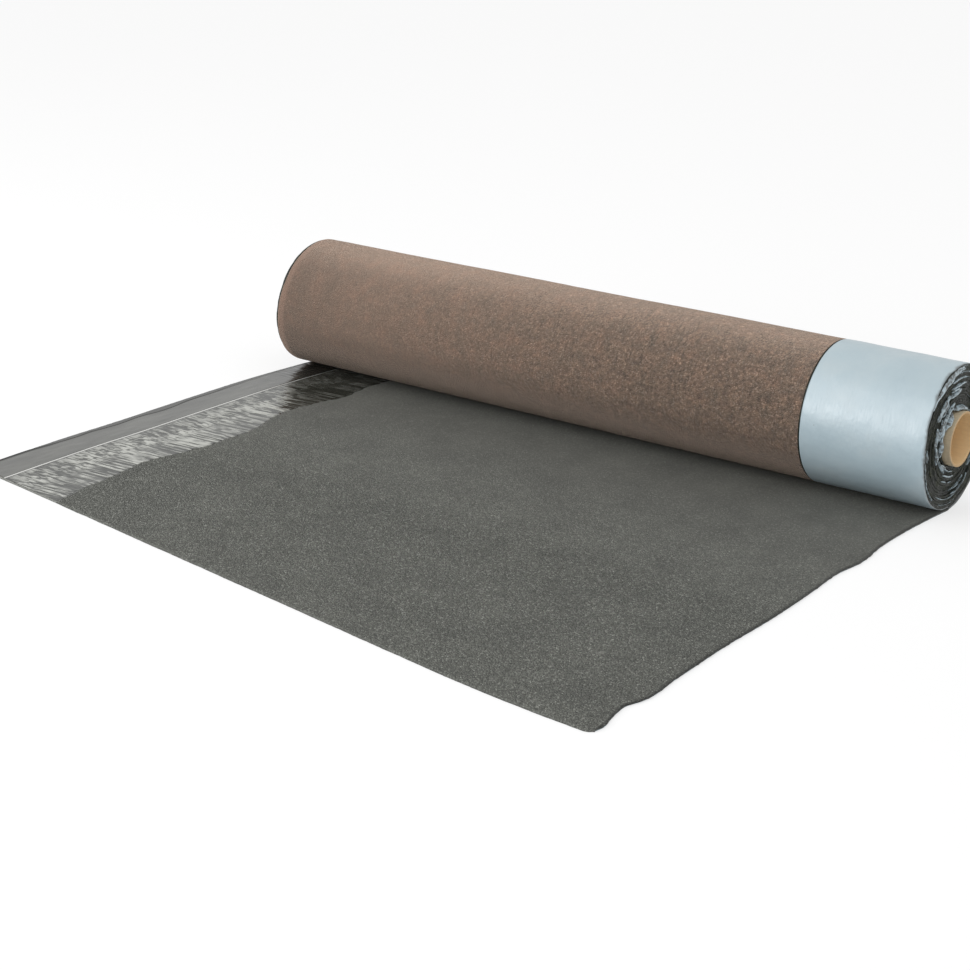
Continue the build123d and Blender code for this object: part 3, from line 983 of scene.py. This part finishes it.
def make_core(material):
    """The cardboard tube: a spiral seam, a rounded rim and an open bore.

    Each row of the profile is a place along, a radius, and shares of rim and of bore.
    """
    start, end = core_low.x, core_high.x
    inner = CORE_RADIUS - CORE_WALL
    along = np.concatenate([np.linspace(0.0, 0.96, 70), np.linspace(0.965, 0.9985, 16)]) * SHEET_WIDTH
    profile = [(start + a, CORE_RADIUS, 0.0, 0.0) for a in along]
    profile += [
        (end - 0.6 * MM, CORE_RADIUS - 0.1 * MM, 0.2, 0.0),
        (end - 0.15 * MM, CORE_RADIUS - 0.5 * MM, 1.0, 0.0),
        (end, CORE_RADIUS - 1.1 * MM, 1.0, 0.0), (end, inner + 1.0 * MM, 1.0, 0.0),
        (end - 0.15 * MM, inner + 0.4 * MM, 1.0, 0.0), (end - 0.7 * MM, inner, 0.4, 1.0),
    ]
    profile += [(start + a, inner, 0.0, 1.0) for a in along[::-1]]
    profile += [(start, inner + 0.8 * MM, 1.0, 0.0), (start, CORE_RADIUS - 0.8 * MM, 1.0, 0.0)]
    turn = np.linspace(0, TURN, CORE_STEPS, endpoint=False)[:, None]
    x, radius, rim, bore = (values[None, :] + 0 * turn for values in np.array(profile).T)
    on_rim, in_bore = rim > 0.5, bore > 0.5
    phase = ((x - start) / SEAM_PITCH - turn / TURN) % 1.0
    distance = np.minimum(phase, 1 - phase) * SEAM_PITCH
    seam = np.exp(-(distance / (1.1 * MM)) ** 2) * (1 - rim) * np.where(in_bore, 0.12, 1.0)
    fuzz = 0.12 * ripple(turn * 22, x / 0.003, 91) * np.where(on_rim, 1.0, 0.3)
    radius = radius + (-0.22 * seam + fuzz - 0.1) * MM * np.where(in_bore, -1.0, 1.0)
    worn = (0.35 * ripple(turn * 9, 0.0, 92) - 0.35) * MM
    x = x + np.where(on_rim & (x > start + SHEET_WIDTH / 2), worn, 0.0)
    loops = stacked(x, AXIS_Y - radius * np.cos(turn), AXIS_Z + radius * np.sin(turn))
    rows, columns = loops.shape[:2]
    i, j = np.meshgrid(np.arange(rows), np.arange(columns), indexing="ij")
    k, m = (j + 1) % columns, (i + 1) % rows
    quads = np.stack([i * columns + j, m * columns + j, m * columns + k, i * columns + k], -1)
    fields = {"rim": rim, "bore": bore, "seam": seam}
    return make_piece("core_board_tube", loops, quads.reshape(-1, 4).tolist(), material, fields)


# Camera, light and floor

def make_camera():
    data = bpy.data.cameras.new("camera")
    data.sensor_width = SENSOR_MM
    data.lens = CAMERA_FOCAL_PX / IMAGE_PX * SENSOR_MM
    camera = bpy.data.objects.new("camera", data)
    bpy.context.scene.collection.objects.link(camera)
    bpy.context.scene.camera = camera
    azimuth = math.radians(CAMERA_AZIMUTH)
    elevation = math.radians(CAMERA_ELEVATION)
    tilt = math.radians(CAMERA_TILT)
    back = Vector((
        math.sin(azimuth) * math.cos(elevation),
        -math.cos(azimuth) * math.cos(elevation),
        math.sin(elevation),
    ))
    level = Vector((math.cos(azimuth), math.sin(azimuth), 0))
    upright = back.cross(level)
    right = level * math.cos(tilt) - upright * math.sin(tilt)
    up = upright * math.cos(tilt) + level * math.sin(tilt)
    turn = Matrix((right, up, back)).transposed().to_4x4()
    x, y, z = (value * MM for value in CAMERA_PLACE)
    camera.matrix_world = Matrix.Translation((X_LEFT + x, Y_NIP + y, z)) @ turn


def make_world():
    world = bpy.data.worlds.new("studio")
    bpy.context.scene.world = world
    world.use_nodes = True
    nodes, links = world.node_tree.nodes, world.node_tree.links
    background = nodes["Background"]
    background.inputs["Color"].default_value = (*WHITE, 1)
    path = nodes.new("ShaderNodeLightPath")
    strength = nodes.new("ShaderNodeMapRange")
    strength.inputs["To Min"].default_value = WORLD_STRENGTH
    links.new(path.outputs["Is Camera Ray"], strength.inputs["Value"])
    links.new(strength.outputs["Result"], background.inputs["Strength"])


def make_lamp(name, direction, size, radiance):
    """A soft rectangular lamp that faces the roll from a direction."""
    data = bpy.data.lights.new(name, "AREA")
    data.shape = "RECTANGLE"
    data.size, data.size_y = size
    data.energy = radiance * math.pi * size[0] * size[1]
    lamp = bpy.data.objects.new(name, data)
    bpy.context.scene.collection.objects.link(lamp)
    towards = Vector(direction).normalized()
    lamp.location = Vector((0, AXIS_Y, AXIS_Z)) + towards * LAMP_DISTANCE
    lamp.rotation_euler = towards.to_track_quat("Z", "Y").to_euler()
    lamp.visible_camera = False


def make_floor():
    mesh = bpy.data.meshes.new("floor")
    half = FLOOR_SIZE / 2
    corners = [(-half, -half, 0), (half, -half, 0), (half, half, 0), (-half, half, 0)]
    mesh.from_pydata(corners, [], [(0, 1, 2, 3)])
    floor = bpy.data.objects.new("floor", mesh)
    bpy.context.scene.collection.objects.link(floor)
    floor.location.z = -FLOOR_DROP
    n = Nodes("floor_white")
    path = n.add("ShaderNodeLightPath")
    seen = n.math("MAXIMUM", path.outputs["Is Camera Ray"], path.outputs["Is Glossy Ray"])
    seen = n.math("MAXIMUM", seen, path.outputs["Is Transmission Ray"])
    glow = n.add("ShaderNodeEmission", {"Color": (*WHITE, 1), "Strength": 1.0})
    share = n.math("MULTIPLY", seen, FLOOR_GLOW)
    mixed = n.add("ShaderNodeMixShader", {0: share, 1: n.shader.outputs[0], 2: glow.outputs[0]})
    output = n.tree.nodes["Material Output"]
    n.put(output.inputs["Surface"], mixed.outputs[0])
    mesh.materials.append(n.finish(Base_Color=n.mix(seen, FLOOR_GREY, WHITE), Roughness=0.9))


make_camera()
make_world()
for lamp_name, (direction, lamp_size, radiance) in LAMPS.items():
    make_lamp(lamp_name, direction, lamp_size, radiance)
make_floor()
bpy.context.scene.view_settings.view_transform = "Standard"

stone_material = granules()
under_material = brown_underside()
tar_material = bitumen()
film_material = blue_film()
tape_material = smooth_tape()
lap_material = wrinkled_film()
board_material = cardboard()

felt_pieces = [
    make_roll_surface(under_material),
    make_bare_ring(tar_material),
    turn_edges(
        "felt_left_turns", tar_material, left_end,
        outward=-1, seed=31, roughness=0.5, first_sink=0.7 * MM, groove=1.0,
    ),
    turn_edges(
        "felt_right_turns", tar_material, right_turns_end,
        outward=1, seed=36, roughness=1.2, first_sink=1.5 * MM, groove=0.3,
    ),
    make_tail(stone_material),
]
film_pieces = [make_film_band(film_material), make_flaps(film_material), make_under_film(film_material)]
tape_piece = make_tape(tape_material)
lap_piece = make_lap_film(lap_material)
core_piece = make_core(board_material)

for pieces, slot, node in (
    (felt_pieces, "bitumen_felt", "felt_sheet"),
    (film_pieces, "blue_film", "underside_release_film"),
    ([tape_piece], "clear_tape", "selvedge_release_tape"),
    ([lap_piece], "lap_film", "selvedge_lap_film"),
    ([core_piece], "cardboard", "core_tube"),
):
    for piece in pieces:
        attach(piece, "root")
        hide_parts(node)
